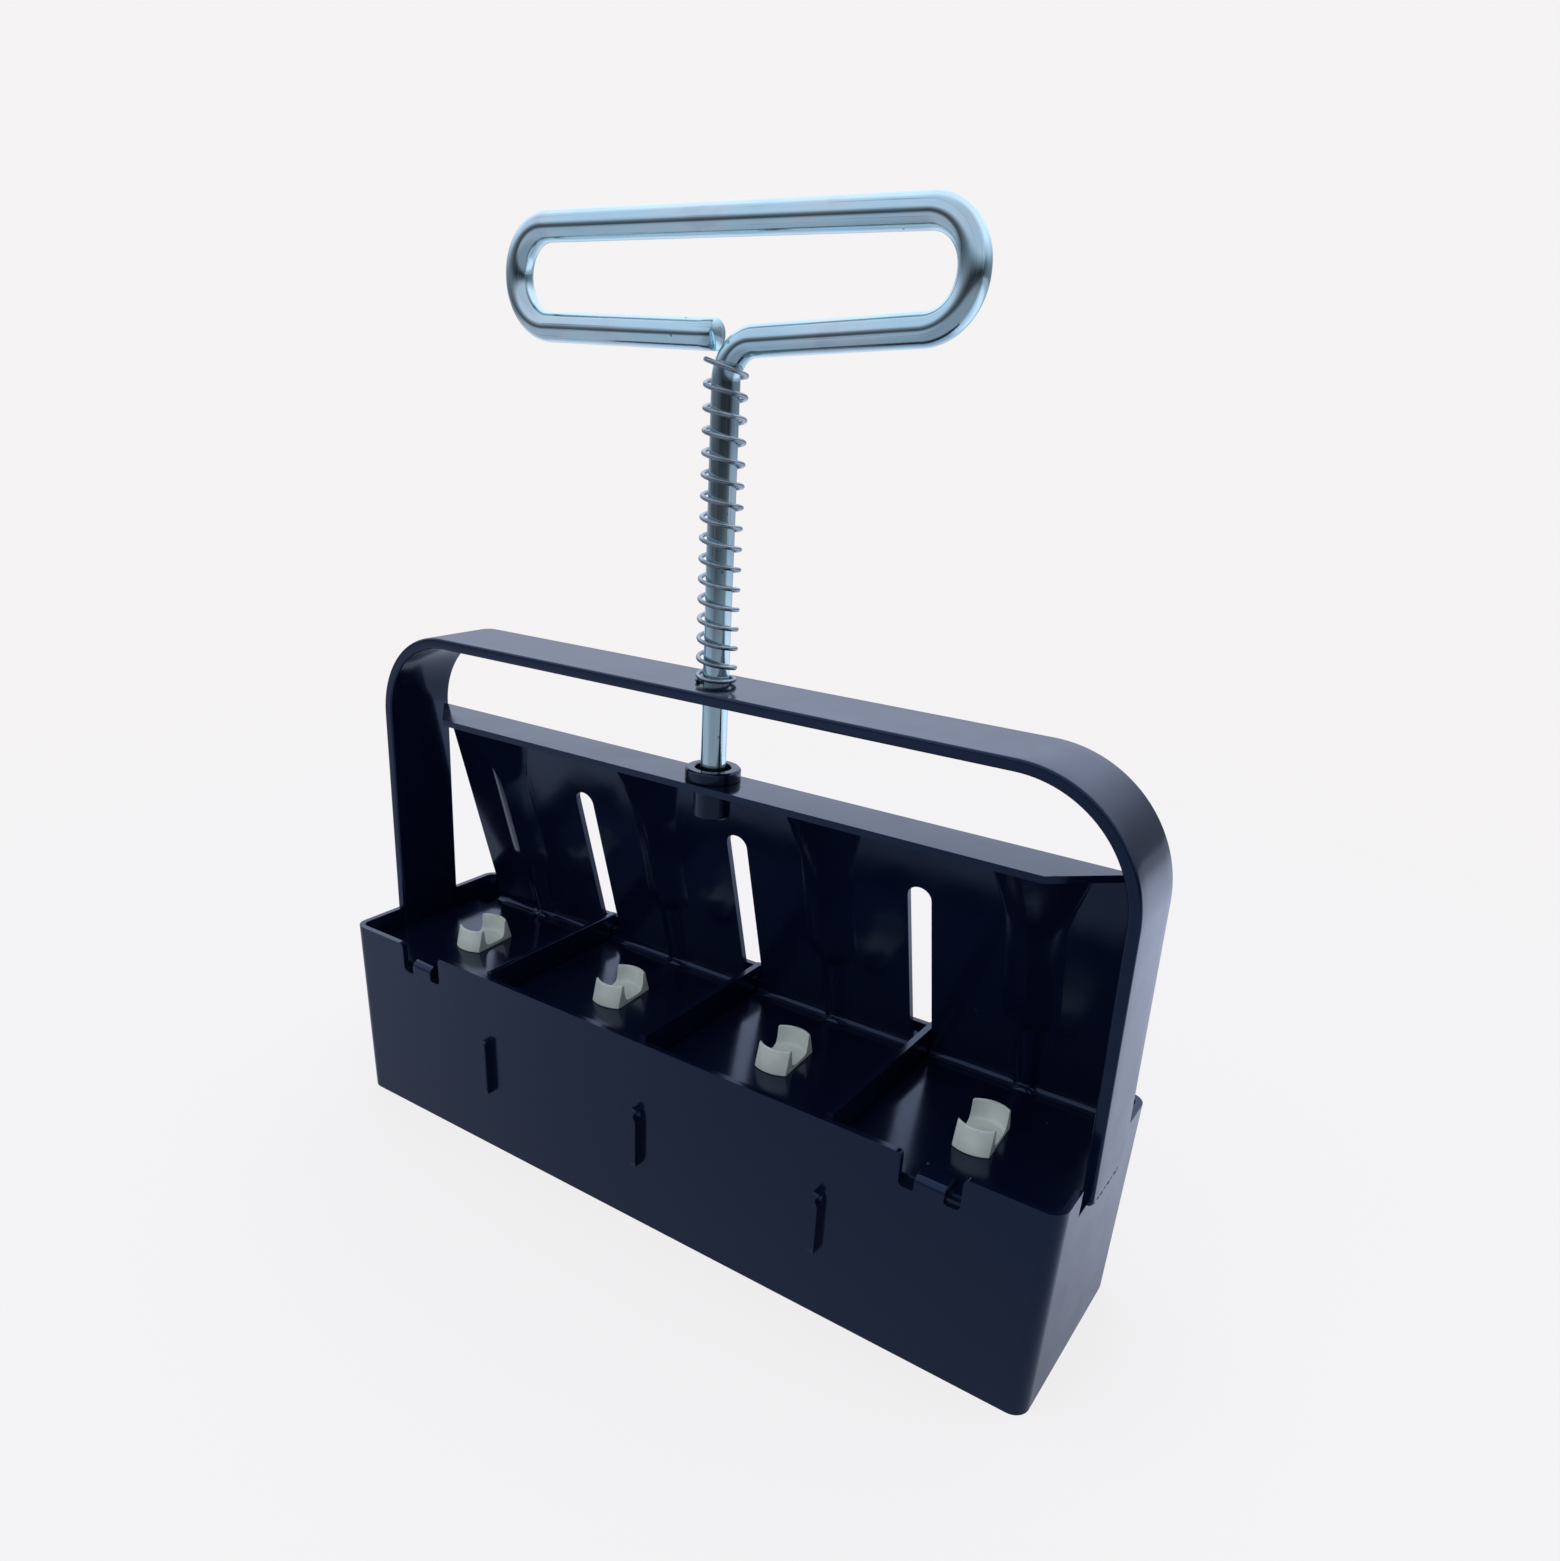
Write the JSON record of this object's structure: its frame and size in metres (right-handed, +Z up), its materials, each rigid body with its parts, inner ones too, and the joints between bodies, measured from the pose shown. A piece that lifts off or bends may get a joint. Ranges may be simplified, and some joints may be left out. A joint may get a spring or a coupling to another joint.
{
  "type": "soil blocker",
  "caption": "Hand-held soil block maker: coated steel box divided into square cells, sprung ejector plate with seed pins, arched bar and bent rod loop handle.",
  "frame": {"origin": "middle of the open bottom of the mould box, in the plane of its lower rim", "axes": "+X along the row of cells towards the end wall with the open notch, +Y from the front wall with the stop tabs to the rear wall, +Z up along the plunger rod"},
  "size_m": [0.2136, 0.0584, 0.2286],
  "materials": {
    "black_coat": "glossy black powder coat",
    "hub_black": "satin black",
    "zinc_rod": "bright zinc plate",
    "spring_steel": "bright drawn wire",
    "pale_nylon": "smooth natural nylon"
  },
  "bodies": {
    "frame": {"mould_box": "black_coat", "divider_1": "black_coat", "divider_2": "black_coat", "divider_3": "black_coat", "arch_bar": "black_coat", "weld_bead_left": "black_coat", "weld_bead_right": "black_coat", "spring": "spring_steel"},
    "plunger": {"ejector": "black_coat", "hub": "hub_black", "rod_handle": "zinc_rod", "seed_pin_1": "pale_nylon", "seed_pin_2": "pale_nylon", "seed_pin_3": "pale_nylon", "seed_pin_4": "pale_nylon"}
  },
  "joints": [
    {"name": "plunger_slide", "type": "slide", "parent": "frame", "child": "plunger", "axis": [0, 0, -1], "range_m": [0, 0.0395], "stiffness_N_per_m": 500, "springref_m": -0.012, "deforming": ["spring"]}
  ]
}
